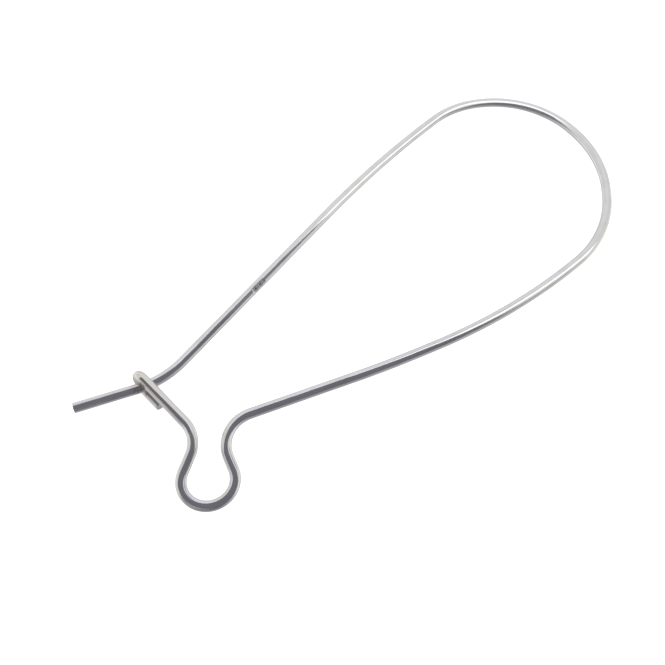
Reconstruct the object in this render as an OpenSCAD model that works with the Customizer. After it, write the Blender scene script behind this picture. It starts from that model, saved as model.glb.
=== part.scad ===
// Kidney ear wire: one length of round silver wire, bent into a long loop that closes on itself.
// The path runs pin, upper side, far end, lower side, dip, arm, hook, tail.
// Every bend is a torus and every straight a cylinder, so the whole wire keeps true round surfaces.
// It lies on a flat surface at z = 0, touching it with the far end of the loop and with the tail.

/* [Wire] */
// Diameter of the round wire
wire_d = 0.7; // [0.5:0.01:0.9]

/* [Loop] */
// Length from the place where the pin crosses the hook to the far end of the loop
loop_len = 39.2; // [34:0.1:46]
// Width between the centres of the loop's two sides
loop_w = 16.9; // [14.5:0.1:20]
// How far the crossing lies above the centre of the lower side
catch_up = 14.4; // [13:0.1:15.5]

/* [Pin] */
// Length of the pin past the crossing, to its free end
pin_len = 4.9; // [3.5:0.1:8]
// Slope of the pin against the length of the loop, in degrees
pin_slope = 26.5; // [18:0.5:34]
// Radius of the bend between the pin and the upper side
pin_bend_r = 6; // [5:0.1:7]
// How far inside the loop the two straights of that bend would meet
pin_bend_in = 1.12; // [0.9:0.02:1.4]

/* [Dip] */
// Inner diameter of the round dip that carries the drop
dip_d = 2.64; // [2.3:0.02:3.2]
// How far the centre of the dip lies below the crossing
dip_down = 8.1; // [7.6:0.1:9]
// How far the centre of the dip lies behind the crossing
dip_back = 1.62; // [1.2:0.02:2]
// Direction in which the mouth of the dip opens, in degrees from the length of the loop
dip_mouth = 50; // [45:1:55]

/* [Hook] */
// Clearance between the pin and the wire of the hook
hook_gap = 0.06; // [0.04:0.01:0.15]
// Lean of the hook to one side, in degrees from upright
hook_lean = 5; // [0:1:10]
// Length of the straight tail under the pin
tail_len = 1.55; // [1:0.05:2.5]

/* [Stamp] */
// Length of the pressed flat where such a wire takes its fineness mark
flat_len = 1.3; // [0.8:0.1:3]
// Depth of the pressed flat
flat_depth = 0.05; // [0.02:0.01:0.1]
// Distance from the bend of the pin to the middle of the flat
flat_at = 9.7; // [6:0.1:13]
// Turn of the flat round the wire, from facing up towards the inside of the loop, in degrees
flat_turn = 40; // [0:5:90]

/* [Hidden] */
$fa = 3;
$fs = 0.08;

// Corners of the loop, from the upper side round the far end to the lower side.
// along: share of loop_len from the crossing. across: share of loop_w from the lower side.
// bend: bend radius as a share of loop_w. rise: share of the arm's height over the surface.
LOOP = [
    // along, across, bend, rise
    [0.65, 1.008, 4.6, 0],
    [0.884, 0.99, 0.42, 0],
    [1.018, 0.728, 0.44, 0],
    [0.985, 0.272, 0.54, 0],
    [0.832, -0.02, 0.56, 0],
    [0.56, 0.035, 2.95, 0],
    [0.31, 0.24, 4.7, 0.46]
];
function along(row) = row[0];
function across(row) = row[1];
function bend_share(row) = row[2];
function rise(row) = row[3];

// Corners of the two necks of the dip, as shares of the dip's centre-line radius.
// aside: from the dip's axis. out: from its centre towards the mouth. neck_bend: bend radius.
NECKS = [
    // aside, out, neck_bend
    [0.33, 2.14, 1.36],
    [-0.33, 1.77, 1.37]
];
function aside(row) = row[0];
function out(row) = row[1];
function neck_bend(row) = row[2];

// A bend is this much thicker than the straights that end inside it
swell = 0.002;
// Length by which a straight runs into a bend
seat = 0.04;
// Shortest straight that is left between two bends
least_straight = 0.12;
// A direction that no straight of the wire runs along
no_straight_dir = [0.3, 0.2, 1];

wire_r = wire_d / 2;
dip_r = (dip_d + wire_d) / 2;
// Height steps of the hook, from the tail to the pin and from the pin to the arm
step_z = wire_d + hook_gap;
arm_z = 2 * step_z;
hook_r = step_z / cos(hook_lean);

function unit(v) = v / norm(v);
function heading(v) = atan2(v[1], v[0]);
function ray(a) = [cos(a), sin(a)];
function at_z(p, z) = [p[0], p[1], z];

// The crossing is the origin of the plan, with the loop's length along +X.
pin_dir = ray(180 - pin_slope);
mouth_dir = ray(dip_mouth);
aside_dir = [mouth_dir[1], -mouth_dir[0]];
dip_mid = [-dip_back, -dip_down];
function neck(row) = dip_mid + dip_r * (aside(row) * aside_dir + out(row) * mouth_dir);
neck_in = neck(NECKS[0]);
neck_out = neck(NECKS[1]);

// Angles at which the wire joins the round of the dip and leaves it
function touch(p) = acos(dip_r / norm(p - dip_mid));
dip_from = heading(neck_in - dip_mid) - touch(neck_in);
dip_to = heading(neck_out - dip_mid) + touch(neck_out) - 360;
dip_start = dip_mid + dip_r * ray(dip_from);
dip_end = dip_mid + dip_r * ray(dip_to);

// The arm runs from the dip straight over the crossing, and meets the pin at this much off square.
arm_dir = unit(-neck_out);
skew = 90 - (heading(pin_dir) - heading(arm_dir));

// Corner line of the pin and the upper side, and then of the lower side
function loop_point(row) = [
    along(row) * loop_len,
    across(row) * loop_w - catch_up,
    rise(row) * arm_z
];
LOOP_POINTS = [for (row = LOOP) loop_point(row)];
PIN_SIDE = concat(
    [at_z(pin_len * pin_dir, step_z), at_z(-pin_bend_in * pin_dir, step_z)],
    LOOP_POINTS,
    [at_z(neck_in, arm_z), at_z(dip_start, arm_z)]
);
PIN_SIDE_R = concat(
    [0, pin_bend_r],
    [for (row = LOOP) bend_share(row) * loop_w],
    [neck_bend(NECKS[0]) * dip_r, 0]
);

// Directions of the wire into and out of a corner of a line, and from the corner's bend to its centre
function in_dir(line, i) = unit(line[i] - line[i - 1]);
function out_dir(line, i) = unit(line[i + 1] - line[i]);
function inward(line, i) =
    unit(out_dir(line, i) - (out_dir(line, i) * in_dir(line, i)) * in_dir(line, i));
// Turn of the wire at a corner, in degrees
function turn(line, i) = acos(in_dir(line, i) * out_dir(line, i));
// Length that a bend takes from each of its two straights
function wanted(line, r, i) = r[i] == 0 ? 0 : r[i] * tan(turn(line, i) / 2);
// Share of those lengths that one side of the line has room for
function room(line, r, i) =
    min(1, (norm(line[i + 1] - line[i]) - least_straight) / (wanted(line, r, i) + wanted(line, r, i + 1)));
function setback(line, r, i) =
    r[i] == 0 ? 0 : wanted(line, r, i) * min(room(line, r, i - 1), room(line, r, i));
function bend_r(line, r, i) = setback(line, r, i) / tan(turn(line, i) / 2);

// Past the crossing the hook turns down round the pin, far enough out to clear it by the same gap.
// What the pin has bowed off its straight there adds to that, and so does what the lean brings the
// hook nearer to the pin, which it meets at a skew.
pin_wall = pin_len + pin_bend_in - setback(PIN_SIDE, PIN_SIDE_R, 1);
bowed = max(0, pin_len - pin_wall - step_z * tan(skew));
bow = bowed * bowed / (2 * bend_r(PIN_SIDE, PIN_SIDE_R, 1));
lean_in = hook_r * sin(hook_lean) * sin(skew);
hook_out = (step_z + bow + lean_in) / cos(skew) - hook_r;
hook_side = [arm_dir[1], -arm_dir[0]];
hook_up = [hook_side[0] * sin(hook_lean), hook_side[1] * sin(hook_lean), cos(hook_lean)];
hook_top = at_z(hook_out * arm_dir, arm_z);
hook_mid = hook_top - hook_r * hook_up;
hook_end = hook_mid - hook_r * hook_up;

ARM = [at_z(dip_end, arm_z), at_z(neck_out, arm_z), hook_top];
ARM_R = [0, neck_bend(NECKS[1]) * dip_r, 0];
TAIL = [hook_end, hook_end - tail_len * at_z(arm_dir, 0)];
TAIL_R = [0, 0];

// Points along the bends of the path, which give the middle of the part in plan.
// The square end of the pin counts as a round bend that reaches as far along the loop.
steps = 8;
pin_reach = pin_len - wire_r * (1 - sin(pin_slope)) / cos(pin_slope);
function bend_point(line, r, i, a) = let (own_r = bend_r(line, r, i))
    line[i] + (own_r * sin(a) - setback(line, r, i)) * in_dir(line, i)
    + own_r * (1 - cos(a)) * inward(line, i);
OUTLINE = concat(
    [at_z(pin_reach * pin_dir, step_z), hook_mid + hook_r * at_z(arm_dir, 0)],
    [for (i = [1 : len(PIN_SIDE) - 2], k = [0 : steps])
        bend_point(PIN_SIDE, PIN_SIDE_R, i, turn(PIN_SIDE, i) * k / steps)],
    [for (k = [0 : steps]) dip_mid + dip_r * ray(dip_from + (dip_to - dip_from) * k / steps)]
);
function middle(k) = let (v = [for (p = OUTLINE) p[k]]) (min(v) + max(v)) / 2;

// Draws its children with their x along u, their y along w, and their origin at p.
module place(p, u, w) {
    n = cross(u, w);
    multmatrix([
        [u[0], w[0], n[0], p[0]],
        [u[1], w[1], n[1], p[1]],
        [u[2], w[2], n[2], p[2]],
        [0, 0, 0, 1]
    ])
        children();
}

// A bend round mid, from the direction u and heading along w
module bend(mid, r, u, w, angle) {
    place(mid, u, w)
        rotate_extrude(angle = angle)
            translate([r, 0])
                circle(r = wire_r + swell);
}

module corner_bend(line, r, i) {
    own_r = bend_r(line, r, i);
    mid = bend_point(line, r, i, 0) + own_r * inward(line, i);
    bend(mid, own_r, -inward(line, i), in_dir(line, i), turn(line, i));
}

// A straight from a to b, run into the bends at its ends
module straight(a, b, seat_a, seat_b) {
    dir = unit(b - a);
    side = unit(cross(dir, no_straight_dir));
    place(a - seat_a * dir, side, cross(dir, side))
        cylinder(h = norm(b - a) + seat_a + seat_b, r = wire_r);
}

// A line of straights with bends at its corners. The ends are cut square or seated in a bend.
module run(line, r, seat_first, seat_last) {
    last = len(line) - 1;
    for (i = [1 : 1 : last - 1]) corner_bend(line, r, i);
    for (i = [0 : last - 1])
        straight(
            line[i] + setback(line, r, i) * out_dir(line, i),
            line[i + 1] - setback(line, r, i + 1) * out_dir(line, i),
            i == 0 ? seat_first : seat,
            i == last - 1 ? seat_last : seat
        );
}

// The block that presses the stamp flat into the upper side, from above and from inside the loop
module stamp_flat() {
    dir = out_dir(PIN_SIDE, 1);
    level = unit(cross([0, 0, 1], dir));
    facing = cos(flat_turn) * cross(dir, level) - sin(flat_turn) * level;
    place(PIN_SIDE[1] + flat_at * dir, dir, cross(facing, dir))
        translate([-flat_len / 2, -wire_r, wire_r - flat_depth])
            cube([flat_len, wire_d, wire_d]);
}

module ear_wire() {
    color("silver")
        translate([-middle(0), -middle(1), wire_r + swell])
            difference() {
                union() {
                    run(PIN_SIDE, PIN_SIDE_R, 0, seat);
                    bend(
                        at_z(dip_mid, arm_z),
                        dip_r,
                        at_z(ray(dip_from), 0),
                        at_z(ray(dip_from - 90), 0),
                        dip_from - dip_to
                    );
                    run(ARM, ARM_R, seat, seat);
                    bend(hook_mid, hook_r, hook_up, at_z(arm_dir, 0), 180);
                    run(TAIL, TAIL_R, seat, 0);
                }
                stamp_flat();
            }
}

ear_wire();
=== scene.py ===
import bpy
import numpy as np
from mathutils import Matrix, Vector


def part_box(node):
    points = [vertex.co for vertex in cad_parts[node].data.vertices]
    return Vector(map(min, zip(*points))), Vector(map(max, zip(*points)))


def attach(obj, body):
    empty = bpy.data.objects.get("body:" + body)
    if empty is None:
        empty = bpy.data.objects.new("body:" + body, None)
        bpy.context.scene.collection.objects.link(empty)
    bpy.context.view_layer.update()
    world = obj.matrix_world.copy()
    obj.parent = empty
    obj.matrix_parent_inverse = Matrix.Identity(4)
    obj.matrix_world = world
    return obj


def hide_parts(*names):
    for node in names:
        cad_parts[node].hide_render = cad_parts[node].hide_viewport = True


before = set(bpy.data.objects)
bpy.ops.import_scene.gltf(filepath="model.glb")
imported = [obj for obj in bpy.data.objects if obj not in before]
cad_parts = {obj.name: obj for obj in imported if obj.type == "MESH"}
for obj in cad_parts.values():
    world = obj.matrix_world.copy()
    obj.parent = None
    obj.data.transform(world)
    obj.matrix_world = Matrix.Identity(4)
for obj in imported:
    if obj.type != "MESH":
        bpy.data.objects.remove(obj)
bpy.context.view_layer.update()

MM = 0.001

# Sizes of the wire, as the part's source has them: lengths in mm, slopes and turns in degrees
WIRE_D = 0.7
LOOP_LEN = 39.2
LOOP_W = 16.9
CATCH_UP = 14.4
PIN_LEN = 4.9
PIN_SLOPE = 26.5
PIN_BEND_R = 6
PIN_BEND_IN = 1.12
DIP_D = 2.64
DIP_DOWN = 8.1
DIP_BACK = 1.62
DIP_MOUTH = 50
HOOK_GAP = 0.06
HOOK_LEAN = 5
TAIL_LEN = 1.55
FLAT_LEN = 1.3
FLAT_DEPTH = 0.05
FLAT_AT = 9.7
FLAT_TURN = 40
# The shortest straight that is left between two bends
LEAST_STRAIGHT = 0.12

# Corners of the loop: the place along as a share of the loop's length, the place across and the
# bend as shares of its width, and the rise as a share of the arm's height
LOOP = [
    # along, across, bend, rise
    (0.65, 1.008, 4.6, 0),
    (0.884, 0.99, 0.42, 0),
    (1.018, 0.728, 0.44, 0),
    (0.985, 0.272, 0.54, 0),
    (0.832, -0.02, 0.56, 0),
    (0.56, 0.035, 2.95, 0),
    (0.31, 0.24, 4.7, 0.46),
]
# Corners of the dip's two necks, as shares of its radius
NECKS = [
    # aside, out, bend
    (0.33, 2.14, 1.36),
    (-0.33, 1.77, 1.37),
]

# Fineness of the mesh: sides round the wire, the most in mm and in radians from one ring to the
# next, and the same in mm on the pressed flat
SIDES = 72
RING_STEP = 0.16
RING_TURN = np.radians(3)
STAMP_STEP = 0.028

# The cut ends: width of the worn edge and its steps, and the rings of the end face as shares
EDGE = 0.035
EDGE_STEPS = 5
FACE_RINGS = (0.8, 0.55, 0.3)

# Two punch marks on the flat, in mm from its middle towards the far end.
# Each is an oval pit with a fine oval line round it and stands for no letter or number.
MARKS = (-0.32, 0.17)
MARK_STRETCH = 1.5
PIT_R = 0.072
PIT_DEPTH = 0.034
LINE_R = 0.15
LINE_WIDTH = 0.022
LINE_DEPTH = 0.012
LINE_TONE = 0.3
# The flat's ends slope over a shoulder inside and outside its length, its middle is crowned, and
# its long edges are soft
SHOULDER_IN = 0.16
SHOULDER_OUT = 0.04
CROWN = 0.006
FLAT_SOFT = 0.008
# How far the fine rings reach to each side of the flat's middle
STAMP_REACH = 1.1

# Unevenness of the drawn and bent wire: wavelength in mm, turns round the wire, height in mm
RIPPLES = [
    # wave, turns, height
    (9.1, 0, 0.0012),
    (5.3, 1, 0.0010),
    (3.7, 2, 0.0012),
    (2.3, 1, 0.0006),
    (1.7, 2, 0.0006),
]
# Where each ripple starts along the wire and round it, so that no two rise together
WAVE_START = 0.7
WAVE_SPREAD = 2.4
TURN_SPREAD = 1.3

# Faint dents that the bending pliers left, in mm along the wire
DENTS = [
    # place, turn round the wire in degrees, half length, depth
    (6.3, 80, 0.5, 0.003),
    (90.6, -90, 0.4, 0.004),
    (93.4, 95, 0.35, 0.004),
    (103.3, 85, 0.35, 0.004),
    (105.0, -90, 0.4, 0.004),
    (110.4, 170, 0.3, 0.005),
    (111.8, -10, 0.3, 0.004),
]
DENT_SHARPNESS = 4

# The map's rows, which the wire's length is cut into, and the two round end faces above them
MAP_ROWS = 8
MAP_TOP = 0.93
MAP_MARGIN = 0.01
FACE_R = 0.03
FACES_AT = ((0.04, 0.965), (0.12, 0.965))

# Lengths and sines smaller than this are nothing
TINY = 1e-9


def unit(v):
    return v / np.linalg.norm(v)


def ray(angle):
    return np.array([np.cos(angle), np.sin(angle)])


def at_z(p, z):
    return np.array([p[0], p[1], z], float)


def heading(v):
    return np.arctan2(v[1], v[0])


class Straight:
    """A straight stretch of the wire's centre line."""

    def __init__(self, start, end):
        self.start = start
        self.dir = unit(end - start)
        self.length = np.linalg.norm(end - start)
        self.bend_r = np.inf

    def at(self, d):
        return self.start + self.dir * d, self.dir


class Bend:
    """An arc round mid, from the direction u and heading along w."""

    def __init__(self, mid, bend_r, u, w, angle):
        self.mid = mid
        self.bend_r = bend_r
        self.u = u
        self.w = w
        self.length = bend_r * angle

    def at(self, d):
        a = d / self.bend_r
        out = np.cos(a) * self.u + np.sin(a) * self.w
        return self.mid + self.bend_r * out, np.cos(a) * self.w - np.sin(a) * self.u


def rounded(corners, radii):
    """The stretches of a line of straights with bends at its corners."""
    last = len(corners) - 1
    dirs = [unit(corners[i + 1] - corners[i]) for i in range(last)]
    turns = np.zeros(last + 1)
    for i in range(1, last):
        turns[i] = np.arccos(np.clip(dirs[i - 1] @ dirs[i], -1, 1))
    wanted = np.array(radii) * np.tan(turns / 2)
    room = [
        min(1, (np.linalg.norm(corners[i + 1] - corners[i]) - LEAST_STRAIGHT)
            / (wanted[i] + wanted[i + 1]))
        for i in range(last)
    ]
    setback = np.zeros(last + 1)
    for i in range(1, last):
        setback[i] = wanted[i] * min(room[i - 1], room[i])
    stretches = []
    for i in range(last):
        start = corners[i] + setback[i] * dirs[i]
        end = corners[i + 1] - setback[i + 1] * dirs[i]
        stretches.append(Straight(start, end))
        if i < last - 1:
            turn = turns[i + 1]
            bend_r = setback[i + 1] / np.tan(turn / 2)
            inward = unit(dirs[i + 1] - (dirs[i + 1] @ dirs[i]) * dirs[i])
            stretches.append(Bend(end + bend_r * inward, bend_r, -inward, dirs[i], turn))
    return stretches


def wire_stretches():
    """The wire's centre line from pin to tail, and where on it the middle of the flat lies."""
    dip_r = (DIP_D + WIRE_D) / 2
    step_z = WIRE_D + HOOK_GAP
    arm_z = 2 * step_z
    lean = np.radians(HOOK_LEAN)
    hook_r = step_z / np.cos(lean)
    pin_dir = ray(np.pi - np.radians(PIN_SLOPE))
    mouth = ray(np.radians(DIP_MOUTH))
    aside_dir = np.array([mouth[1], -mouth[0]])
    dip_mid = np.array([-DIP_BACK, -DIP_DOWN])
    necks = [dip_mid + dip_r * (aside * aside_dir + out * mouth) for aside, out, bend in NECKS]

    def touch(p):
        return np.arccos(dip_r / np.linalg.norm(p - dip_mid))

    dip_from = heading(necks[0] - dip_mid) - touch(necks[0])
    dip_to = heading(necks[1] - dip_mid) + touch(necks[1]) - 2 * np.pi
    arm_dir = unit(-necks[1])
    skew = np.pi / 2 - (heading(pin_dir) - heading(arm_dir))

    pin_corners = [at_z(PIN_LEN * pin_dir, step_z), at_z(-PIN_BEND_IN * pin_dir, step_z)]
    for along, across, bend, rise in LOOP:
        pin_corners.append(
            np.array([along * LOOP_LEN, across * LOOP_W - CATCH_UP, rise * arm_z])
        )
    pin_corners.append(at_z(necks[0], arm_z))
    pin_corners.append(at_z(dip_mid + dip_r * ray(dip_from), arm_z))
    radii = [0, PIN_BEND_R, *[bend * LOOP_W for along, across, bend, rise in LOOP]]
    pin_side = rounded(pin_corners, [*radii, NECKS[0][2] * dip_r, 0])

    pin_straight, pin_bend = pin_side[0].length, pin_side[1]
    bowed = max(0, PIN_LEN - pin_straight - step_z * np.tan(skew))
    bow = bowed ** 2 / (2 * pin_bend.bend_r)
    lean_in = hook_r * np.sin(lean) * np.sin(skew)
    hook_out = (step_z + bow + lean_in) / np.cos(skew) - hook_r
    hook_up = np.array([arm_dir[1] * np.sin(lean), -arm_dir[0] * np.sin(lean), np.cos(lean)])
    hook_top = at_z(hook_out * arm_dir, arm_z)
    hook_mid = hook_top - hook_r * hook_up
    hook_end = hook_mid - hook_r * hook_up
    arm_along = at_z(arm_dir, 0)

    dip = Bend(
        at_z(dip_mid, arm_z),
        dip_r,
        at_z(ray(dip_from), 0),
        at_z(ray(dip_from - np.pi / 2), 0),
        dip_from - dip_to,
    )
    arm_corners = [at_z(dip_mid + dip_r * ray(dip_to), arm_z), at_z(necks[1], arm_z), hook_top]
    arm = rounded(arm_corners, [0, NECKS[1][2] * dip_r, 0])
    hook = Bend(hook_mid, hook_r, hook_up, arm_along, np.pi)
    tail = Straight(hook_end, hook_end - TAIL_LEN * arm_along)

    to_side = pin_straight + pin_bend.length
    setback = PIN_LEN + PIN_BEND_IN - pin_straight
    flat_mid = to_side + FLAT_AT - setback
    return [*pin_side, dip, *arm, hook, tail], flat_mid


def ring_places(stretches, flat_mid):
    """Distances along the wire at which a ring is drawn, all different and in order."""
    places = [0.0]
    start = 0.0
    for stretch in stretches:
        step = min(RING_STEP, RING_TURN * stretch.bend_r)
        count = int(np.ceil(stretch.length / step))
        places.extend(start + stretch.length * np.arange(1, count + 1) / count)
        start += stretch.length
    places = [s for s in places if abs(s - flat_mid) > STAMP_REACH]
    count = int(np.ceil(2 * STAMP_REACH / STAMP_STEP))
    places.extend(flat_mid + np.linspace(-STAMP_REACH, STAMP_REACH, count + 1))
    ends = [EDGE * (1 - np.cos(a)) for a in np.linspace(0, np.pi / 2, EDGE_STEPS + 1)]
    places = [s for s in places if EDGE < s < start - EDGE]
    places.extend(ends)
    places.extend(start - np.array(ends))
    return np.array(sorted(places))


def carried_frames(stretches, places):
    """Centre, upward axis and sideways axis of each ring, carried along without twist."""
    starts = np.cumsum([0, *[stretch.length for stretch in stretches]])
    centres, dirs, ups = [], [], []
    up = np.array([0, 0, 1.0])
    before = None
    for s in places:
        i = min(int(np.searchsorted(starts, s, side="right")) - 1, len(stretches) - 1)
        centre, direction = stretches[i].at(s - starts[i])
        if before is not None:
            axis = np.cross(before, direction)
            sine = np.linalg.norm(axis)
            if sine > TINY:
                turn = Matrix.Rotation(np.arctan2(sine, before @ direction), 3, Vector(axis))
                up = np.array(turn @ Vector(up))
        up = unit(up - (up @ direction) * direction)
        centres.append(centre)
        dirs.append(direction)
        ups.append(up)
        before = direction
    centres, dirs, ups = np.array(centres), np.array(dirs), np.array(ups)
    return centres, ups, np.cross(dirs, ups)


def soft_step(x, low, high):
    t = np.clip((x - low) / (high - low), 0, 1)
    return t * t * (3 - 2 * t)


def stamp_depth(along, across, height):
    """How far the stamp presses the round wire in, how flat it is there, and how dark the mark."""
    half_len = FLAT_LEN / 2
    inside = 1 - soft_step(abs(along), half_len - SHOULDER_IN, half_len + SHOULDER_OUT)
    half_wide = np.sqrt(FLAT_DEPTH * (WIRE_D - FLAT_DEPTH))
    crown = CROWN * np.maximum(1 - (across / half_wide) ** 2, 0)
    over = height - (WIRE_D / 2 - FLAT_DEPTH) - crown
    pressed = inside * 0.5 * (over + np.sqrt(over ** 2 + FLAT_SOFT ** 2))
    pits = np.zeros_like(across)
    lines = np.zeros_like(across)
    for mid in MARKS:
        far = np.hypot((along - mid) / MARK_STRETCH, across)
        pits += np.exp(-(far / PIT_R) ** 2)
        lines += np.exp(-((far - LINE_R) / LINE_WIDTH) ** 2)
    depth = pressed + PIT_DEPTH * pits + LINE_DEPTH * lines
    flat = inside * soft_step(over, 0, FLAT_SOFT)
    tone = pits + LINE_TONE * lines
    upper = height > 0
    return [np.where(upper, part, 0) for part in (depth, flat, tone)]


def unevenness(s, angle):
    """How far the surface stands out of a perfect round, in mm."""
    total = 0
    for k, (wave, turns, height) in enumerate(RIPPLES):
        along = np.sin(2 * np.pi * s / wave + WAVE_SPREAD * k * k + WAVE_START)
        total = total + height * along * np.cos(turns * angle + TURN_SPREAD * k)
    for place, turn, half, depth in DENTS:
        facing = np.maximum(np.cos(angle - np.radians(turn)), 0)
        total = total - depth * np.exp(-((s - place) / half) ** 2) * facing ** DENT_SHARPNESS
    return total


class Skin:
    """The wire's surface: vertices in mm, where on the wire each is, its finish, and the faces."""

    def __init__(self):
        self.points = np.zeros((0, 3))
        self.spots = np.zeros((0, 3))
        self.finishes = np.zeros((0, 3))
        self.faces = []

    def add(self, points, spots, finishes):
        """Takes in vertices and gives back their numbers."""
        numbers = len(self.points) + np.arange(len(points))
        self.points = np.concatenate([self.points, points])
        self.spots = np.concatenate([self.spots, spots])
        self.finishes = np.concatenate([self.finishes, finishes])
        return numbers

    def join(self, ring, after):
        """Adds the faces between two rings."""
        quads = np.stack([ring, np.roll(ring, -1), np.roll(after, -1), after], -1)
        self.faces.extend(quads.tolist())


def ring_shapes(places, length, flat_mid):
    """How high and how far aside each vertex lies in its ring's own frame, and its finish."""
    s = places[:, None]
    angle = (2 * np.pi * np.arange(SIDES) / SIDES - np.pi)[None, :]
    worn = np.clip(1 - np.minimum(s, length - s) / EDGE, 0, 1)
    radius = WIRE_D / 2 - EDGE * (1 - np.sqrt(1 - worn ** 2))
    radius = radius + unevenness(s, angle) * (1 - worn)
    height = radius * np.cos(angle)
    across = radius * np.sin(angle)
    turn = np.radians(FLAT_TURN)
    facing = height * np.cos(turn) + across * np.sin(turn)
    aside = across * np.cos(turn) - height * np.sin(turn)
    depth, flat, pits = stamp_depth(s - flat_mid, aside, facing)
    height = height - depth * np.cos(turn)
    across = across - depth * np.sin(turn)
    return height, across, np.stack([flat, pits, np.zeros_like(flat)], -1)


def close_end(skin, rim, centre, outward):
    """The cut face at one end: rings that shrink from the rim to a point in the middle."""
    edge = skin.points[rim]
    spots = skin.spots[rim]
    cut = np.tile([0, 0, 1], (SIDES, 1))
    for share in FACE_RINGS:
        ring = skin.add(centre + share * (edge - centre), spots * (share, share, 1), cut)
        skin.join(*((rim, ring) if outward else (ring, rim)))
        rim = ring
    middle = int(skin.add(centre[None], spots[:1] * (0, 0, 1), cut[:1])[0])
    for a, b in zip(rim.tolist(), np.roll(rim, -1).tolist()):
        skin.faces.append([a, b, middle] if outward else [b, a, middle])


def wire_surface():
    """The skin of the whole wire, and the length of its centre line."""
    stretches, flat_mid = wire_stretches()
    places = ring_places(stretches, flat_mid)
    length = sum(stretch.length for stretch in stretches)
    centres, ups, sides = carried_frames(stretches, places)
    height, across, finish = ring_shapes(places, length, flat_mid)
    rings = centres[:, None] + height[..., None] * ups[:, None] + across[..., None] * sides[:, None]
    spots = np.stack([height, across, np.broadcast_to(places[:, None], height.shape)], -1)

    skin = Skin()
    numbers = skin.add(rings.reshape(-1, 3), spots.reshape(-1, 3), finish.reshape(-1, 3))
    grid = numbers.reshape(len(places), SIDES)
    for ring, after in zip(grid[:-1], grid[1:]):
        skin.join(ring, after)
    close_end(skin, grid[0], centres[0], outward=False)
    close_end(skin, grid[-1], centres[-1], outward=True)
    return skin, length


def map_place(spots, length):
    """Where the corners of one face lie on the map."""
    height, across, s = spots.T
    if np.ptp(s) < TINY:
        mid_u, mid_v = FACES_AT[int(s[0] > length / 2)]
        u = mid_u + FACE_R * height / (WIRE_D / 2)
        v = mid_v + FACE_R * across / (WIRE_D / 2)
        return u, v
    row_length = length / MAP_ROWS
    row = min(int(s.mean() / row_length), MAP_ROWS - 1)
    turn = np.arctan2(across, height) / (2 * np.pi) + 0.5
    if np.ptp(turn) > 0.5:
        turn = np.where(turn < 0.5, turn + 1, turn)
    u = s / row_length - row
    v = (row + MAP_MARGIN + turn * (1 - 2 * MAP_MARGIN)) / MAP_ROWS * MAP_TOP
    return u, v


def add_maps(mesh, skin, length):
    """The place and the finish on the wire as attributes, and a map of the wire in rows."""
    for name, values in (("wire_place", skin.spots), ("wire_finish", skin.finishes)):
        layer = mesh.attributes.new(name, "FLOAT_VECTOR", "POINT")
        layer.data.foreach_set("vector", values.astype(np.float32).ravel())
    layer = mesh.uv_layers.new(name="OFBake")
    uv = np.zeros((len(mesh.loops), 2))
    for face in mesh.polygons:
        u, v = map_place(skin.spots[list(face.vertices)], length)
        uv[list(face.loop_indices)] = np.stack([u, v], -1)
    layer.uv.foreach_set("vector", uv.astype(np.float32).ravel())


def link(obj):
    bpy.context.scene.collection.objects.link(obj)
    return obj


def make_wire():
    skin, length = wire_surface()
    low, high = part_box("ear_wire")
    cad_mid = (np.array(low) + np.array(high)) / 2
    own_mid = (skin.points.min(0) + skin.points.max(0)) / 2
    points = skin.points * MM + (cad_mid - own_mid * MM)
    mesh = bpy.data.meshes.new("wire")
    mesh.from_pydata(points.tolist(), [], skin.faces)
    mesh.polygons.foreach_set("use_smooth", [True] * len(mesh.polygons))
    mesh.update()
    add_maps(mesh, skin, length)
    wire = link(bpy.data.objects.new("bent_wire", mesh))
    mesh.materials.append(silver())
    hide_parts("ear_wire")
    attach(wire, "root")
    return wire


def mix_colours(tree, share, below, above):
    """A blend by a share of two colours, each a socket or three numbers."""
    node = tree.nodes.new("ShaderNodeMix")
    node.data_type = "RGBA"
    sockets = {item.identifier: item for item in node.inputs}
    tree.links.new(share, sockets["Factor_Float"])
    for name, source in (("A_Color", below), ("B_Color", above)):
        if isinstance(source, tuple):
            sockets[name].default_value = (*source, 1)
        else:
            tree.links.new(source, sockets[name])
    return next(item for item in node.outputs if item.identifier == "Result_Color")


# Patterns in the silver: scale, detail, and the share of that scale along the wire
DRAW_LINES = (22, 3, 0.03)
HAZE = (0.9, 4, 1)
GRAIN = (9, 4, 1)
# The part of each pattern's range that shows, and for the painted warm highlight in the hook what
# it turns into
HAZE_SHOWS = (0.35, 0.75)
LINES_SHOW = (0.3, 0.7)
DARK_REFLECTION_SHOWS = (0.35, 0.65)
WARM_HIGHLIGHT_SHOWS = (0.2, 0.6, 0.55, 1.0)
# Where painted reflection of the hook lies, in mm along the wire: dark spots on the pin in the
# hook's crook, and a warm highlight in the hook
DARK_REFLECTION_BAND = (3.7, 4.3, 5.1)
WARM_HIGHLIGHT_BAND = (104.5, 109, 116)
# Tones
FRESH = (0.885, 0.882, 0.88)
HAZY = (0.83, 0.815, 0.795)
# a painted warm highlight in the hook, where the silver mirrors a cream light
PAINTED_WARM_HIGHLIGHT = (0.865, 0.835, 0.765)
# painted dark reflection and shade of the hook, in spots on the pin under it
PAINTED_DARK_REFLECTION = (0.42, 0.37, 0.30)
IN_PITS = (0.10, 0.10, 0.10)
ON_CUTS = (0.74, 0.73, 0.72)
# Roughness: the least and the most of the polished wire, the matt flat and the cut ends
POLISHED = (0.09, 0.15)
MATT = 0.5
CUT_ROUGH = 0.38
# Relief in the material alone, strength and depth in mm
LINES_RELIEF = (0.6, 0.0015)
SCARS_RELIEF = (0.5, 0.002)


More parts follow.
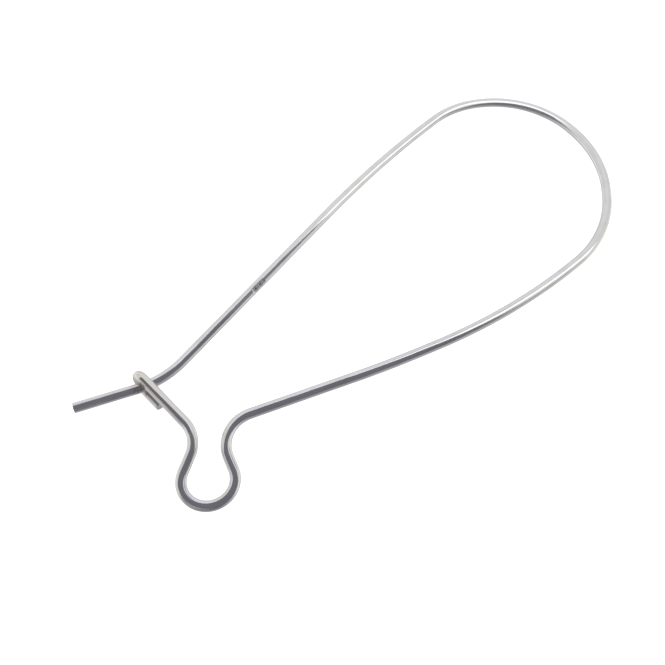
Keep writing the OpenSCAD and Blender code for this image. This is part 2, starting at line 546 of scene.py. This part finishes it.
def silver():
    """Drawn and polished silver: fine draw lines, a faint haze, a painted dark reflection of the
    hook on the pin in its crook, and a painted warm highlight in the hook.
    """
    material = bpy.data.materials.new("silver_wire")
    material.use_nodes = True
    tree = material.node_tree
    nodes, links = tree.nodes, tree.links
    shader = nodes["Principled BSDF"]
    shader.inputs["Metallic"].default_value = 1.0

    def attribute(name):
        node = nodes.new("ShaderNodeAttribute")
        node.attribute_name = name
        return node.outputs["Vector"]

    def split(source):
        node = nodes.new("ShaderNodeSeparateXYZ")
        links.new(source, node.inputs["Vector"])
        return node.outputs

    def noise(scale, detail, squeeze):
        mapping = nodes.new("ShaderNodeMapping")
        mapping.inputs["Scale"].default_value = (1, 1, squeeze)
        links.new(place, mapping.inputs["Vector"])
        node = nodes.new("ShaderNodeTexNoise")
        node.inputs["Scale"].default_value = scale
        node.inputs["Detail"].default_value = detail
        links.new(mapping.outputs["Vector"], node.inputs["Vector"])
        return node.outputs["Fac"]

    def map_range(source, from_low, from_high, to_low=0.0, to_high=1.0):
        node = nodes.new("ShaderNodeMapRange")
        node.interpolation_type = "SMOOTHSTEP"
        values = (from_low, from_high, to_low, to_high)
        for name, value in zip(("From Min", "From Max", "To Min", "To Max"), values):
            node.inputs[name].default_value = value
        links.new(source, node.inputs["Value"])
        return node.outputs["Result"]

    def times(first, second):
        node = nodes.new("ShaderNodeMath")
        node.operation = "MULTIPLY"
        links.new(first, node.inputs[0])
        links.new(second, node.inputs[1])
        return node.outputs["Value"]

    def band(low, mid, high):
        return times(map_range(along, low, mid), map_range(along, mid, high, 1.0, 0.0))

    def relief(source, strength, depth):
        node = nodes.new("ShaderNodeBump")
        node.inputs["Strength"].default_value = strength
        node.inputs["Distance"].default_value = depth * MM
        links.new(source, node.inputs["Height"])
        return node

    place = attribute("wire_place")
    along = split(place)["Z"]
    flat, pit, cut = (split(attribute("wire_finish"))[axis] for axis in "XYZ")
    lines = noise(*DRAW_LINES)
    haze = noise(*HAZE)
    grain = noise(*GRAIN)

    tone = mix_colours(tree, map_range(haze, *HAZE_SHOWS), FRESH, HAZY)
    # Painted warm highlight in the hook, in patches; hook here is that highlight's share
    hook = times(band(*WARM_HIGHLIGHT_BAND), map_range(grain, *WARM_HIGHLIGHT_SHOWS))
    tone = mix_colours(tree, hook, tone, PAINTED_WARM_HIGHLIGHT)
    # Painted dark reflection and shade of the hook, in spots on the pin in its crook
    dark_reflection = times(band(*DARK_REFLECTION_BAND), map_range(grain, *DARK_REFLECTION_SHOWS))
    tone = mix_colours(tree, dark_reflection, tone, PAINTED_DARK_REFLECTION)
    tone = mix_colours(tree, pit, tone, IN_PITS)
    tone = mix_colours(tree, cut, tone, ON_CUTS)
    links.new(tone, shader.inputs["Base Color"])

    rough = map_range(lines, *LINES_SHOW, *POLISHED)
    for share, value in ((flat, MATT), (pit, MATT), (cut, CUT_ROUGH)):
        mix = nodes.new("ShaderNodeMix")
        links.new(share, mix.inputs["Factor"])
        links.new(rough, mix.inputs["A"])
        mix.inputs["B"].default_value = value
        rough = mix.outputs["Result"]
    links.new(rough, shader.inputs["Roughness"])

    drawn = relief(lines, *LINES_RELIEF)
    scarred = relief(times(grain, cut), *SCARS_RELIEF)
    links.new(drawn.outputs["Normal"], scarred.inputs["Normal"])
    links.new(scarred.outputs["Normal"], shader.inputs["Normal"])
    return material


# Camera: where it stands in mm in the part's frame, how far it is turned from +X and looks down
# in degrees, its nearest and furthest view in mm, and its lens on a square picture
CAMERA_AT = (-26.256, -19.669, 49.997)
CAMERA_TURN = 44.2
CAMERA_DOWN = 60
CAMERA_NEAR = 1
CAMERA_FAR = 5000
SENSOR = 36
LENS = 44.28


def camera_axes():
    """The camera's view, and the level directions away from it and to its right."""
    down = np.radians(CAMERA_DOWN)
    away = Vector((*ray(np.radians(CAMERA_TURN)), 0))
    right = Vector((away.y, -away.x, 0))
    forward = away * np.cos(down) - Vector((0, 0, 1)) * np.sin(down)
    return forward, away, right


def make_camera():
    forward, away, right = camera_axes()
    data = bpy.data.cameras.new("camera")
    data.sensor_width = SENSOR
    data.sensor_height = SENSOR
    data.lens = LENS
    data.clip_start = CAMERA_NEAR * MM
    data.clip_end = CAMERA_FAR * MM
    camera = link(bpy.data.objects.new("camera", data))
    camera.location = Vector(CAMERA_AT) * MM
    camera.rotation_mode = "QUATERNION"
    camera.rotation_quaternion = forward.to_track_quat("-Z", "Y")
    bpy.context.scene.camera = camera


# Cards of the light tent over the wire, seen only in its reflections
TENT = {
    # name: corners in mm to the camera's right and away from it,
    # (height over the middle, rise to the right, rise away), colour, strength

    # a white sheet over the loop, which rises away at 45 degrees and runs far to the right
    "white_card": [
        [(-15, 25), (-15, -10), (100, 0), (100, 25)],
        (35, 0, 1), (1.0, 0.99, 0.99), 1.25,
    ],
    # a dark sheet over the near side, where the camera looks in, down to the table at one corner
    "dark_front": [
        [(-100, 0), (0, 0), (30, -10), (30, -50), (-100, -50)],
        (20, -0.25, 0.25), (0.96, 0.93, 1.11), 0.165,
    ],
    # a small dark flag over the middle of the loop, which rises steeply away
    "dark_flag": [
        [(-15, 0), (0, 10), (15, 5), (0, -5)],
        (10, -0.5, 1.25), (0.96, 0.95, 1.09), 0.22,
    ],
}


def glow(name, color, strength):
    material = bpy.data.materials.new(name)
    material.use_nodes = True
    nodes, links = material.node_tree.nodes, material.node_tree.links
    nodes.remove(nodes["Principled BSDF"])
    light = nodes.new("ShaderNodeEmission")
    light.inputs["Color"].default_value = (*color, 1)
    light.inputs["Strength"].default_value = strength
    links.new(light.outputs["Emission"], nodes["Material Output"].inputs["Surface"])
    material.cycles.emission_sampling = "NONE"
    return material


def make_tent():
    forward, away, right = camera_axes()
    up = Vector((0, 0, 1))
    for name, (corners, (height, rise_x, rise_y), color, strength) in TENT.items():
        points = [
            (right * x + away * y + up * (height + rise_x * x + rise_y * y)) * MM
            for x, y in corners
        ]
        mesh = bpy.data.meshes.new(name)
        mesh.from_pydata(points, [], [list(range(len(points)))])
        mesh.materials.append(glow(name, color, strength))
        card = link(bpy.data.objects.new(name, mesh))
        card.visible_camera = False
        card.visible_diffuse = False
        card.visible_shadow = False


# What the wire mirrors past the cards, at four heights. The place runs from 0, towards the
# camera, to 1, away from it.
COOL = (0.975, 0.985, 1.035)
WARM = (1.015, 1.0, 0.965)
PLAIN = (1, 1, 1)
HIGH_LIGHT = [
    # place, strength, tint
    (0, 0.6, PLAIN),
    (0.5, 0.72, WARM),
    (0.85, 0.68, WARM),
    (1, 0.77, COOL),
]
LEVEL_LIGHT = [
    (0.3, 0.05, COOL),
    (0.45, 0.6, WARM),
    (1, 0.83, COOL),
]
LOW_LIGHT = [
    (0, 0.22, COOL),
    (0.15, 0.37, COOL),
    (0.5, 0.87, WARM),
    (0.85, 0.85, PLAIN),
    (1, 0.6, COOL),
]
UNDER_LIGHT = [
    (0, 0.4, COOL),
    (1, 0.55, COOL),
]
# Each light takes over from the one below it between two heights, as sines of the angle up
TAKE_OVERS = [
    (-0.8, -0.4, LOW_LIGHT),
    (-0.15, 0.05, LEVEL_LIGHT),
    (0.1, 0.22, HIGH_LIGHT),
]
# A ramp that passes its place on as it is
STEP = [
    (0, 0, PLAIN),
    (1, 1, PLAIN),
]


def make_surround():
    """Light from all round: a grey ceiling, a dark room at eye height and the bright table."""
    forward, away, right = camera_axes()
    world = bpy.data.worlds.new("surround")
    bpy.context.scene.world = world
    world.use_nodes = True
    tree = world.node_tree
    nodes, links = tree.nodes, tree.links
    direction = nodes.new("ShaderNodeTexCoord").outputs["Generated"]

    def vector_math(operation, source, value=None):
        node = nodes.new("ShaderNodeVectorMath")
        node.operation = operation
        links.new(source, node.inputs[0])
        if value is not None:
            node.inputs[1].default_value = value
        return node.outputs["Value" if operation == "DOT_PRODUCT" else "Vector"]

    def ramp(source, low, high, points):
        place = nodes.new("ShaderNodeMapRange")
        place.inputs["From Min"].default_value = low
        place.inputs["From Max"].default_value = high
        links.new(source, place.inputs["Value"])
        node = nodes.new("ShaderNodeValToRGB")
        stops = node.color_ramp.elements
        while len(stops) < len(points):
            stops.new(0.5)
        for stop, (position, strength, tint) in zip(stops, points):
            stop.position = position
            stop.color = (*(strength * part for part in tint), 1)
        links.new(place.outputs["Result"], node.inputs["Fac"])
        return node.outputs["Color"]

    level = vector_math("NORMALIZE", vector_math("MULTIPLY", direction, (1, 1, 0)))
    facing = vector_math("DOT_PRODUCT", level, away)
    height = vector_math("DOT_PRODUCT", vector_math("NORMALIZE", direction), (0, 0, 1))
    whole = ramp(facing, -1, 1, UNDER_LIGHT)
    for start, end, lights in TAKE_OVERS:
        share = ramp(height, start, end, STEP)
        whole = mix_colours(tree, share, whole, ramp(facing, -1, 1, lights))
    links.new(whole, nodes["Background"].inputs["Color"])


# The table, in metres: a flat round of paper that rises to a wall far outside the picture
TABLE_R = 0.26
WALL_BEND_R = 0.22
WALL_BEND_STEPS = 12
WALL_TOP = 0.6
TABLE_SIDES = 96
# The paper is lit from below, so that it is white with hardly a shadow
PAPER_TONE = 0.15
PAPER_GLOW = 1.05


def make_table():
    bends = np.linspace(0, np.pi / 2, WALL_BEND_STEPS + 1)
    profile = [(TABLE_R + WALL_BEND_R * np.sin(a), WALL_BEND_R * (1 - np.cos(a))) for a in bends]
    profile.append((TABLE_R + WALL_BEND_R, WALL_TOP))
    points = [(0, 0, 0)]
    for radius, height in profile:
        for a in np.linspace(0, 2 * np.pi, TABLE_SIDES, endpoint=False):
            points.append((radius * np.cos(a), radius * np.sin(a), height))
    faces = [(0, 1 + i, 1 + (i + 1) % TABLE_SIDES) for i in range(TABLE_SIDES)]
    for row in range(len(profile) - 1):
        lower = 1 + row * TABLE_SIDES
        upper = lower + TABLE_SIDES
        for i in range(TABLE_SIDES):
            after = (i + 1) % TABLE_SIDES
            faces.append((lower + i, upper + i, upper + after, lower + after))
    mesh = bpy.data.meshes.new("table")
    mesh.from_pydata(points, [], faces)
    mesh.polygons.foreach_set("use_smooth", [True] * len(mesh.polygons))
    mesh.materials.append(paper())
    table = link(bpy.data.objects.new("table", mesh))
    table.visible_glossy = False


def paper():
    material = bpy.data.materials.new("paper")
    material.use_nodes = True
    shader = material.node_tree.nodes["Principled BSDF"]
    shader.inputs["Base Color"].default_value = (PAPER_TONE, PAPER_TONE, PAPER_TONE, 1)
    shader.inputs["Roughness"].default_value = 1
    shader.inputs["Specular IOR Level"].default_value = 0
    shader.inputs["Emission Color"].default_value = (1, 1, 1, 1)
    shader.inputs["Emission Strength"].default_value = PAPER_GLOW
    material.cycles.emission_sampling = "NONE"
    return material


# The lamp, in metres and watts: a soft round one straight over the wire
LAMP_D = 0.5
LAMP_UP = 0.6
LAMP_POWER = 3


def make_lamp():
    data = bpy.data.lights.new("soft_lamp", "AREA")
    data.shape = "DISK"
    data.size = LAMP_D
    data.energy = LAMP_POWER
    lamp = link(bpy.data.objects.new("soft_lamp", data))
    lamp.location = (0, 0, LAMP_UP)
    lamp.visible_glossy = False
    lamp.visible_camera = False


def set_colours():
    scene = bpy.context.scene
    scene.view_settings.view_transform = "Standard"
    scene.view_settings.look = "None"


make_wire()
make_table()
make_tent()
make_surround()
make_lamp()
make_camera()
set_colours()
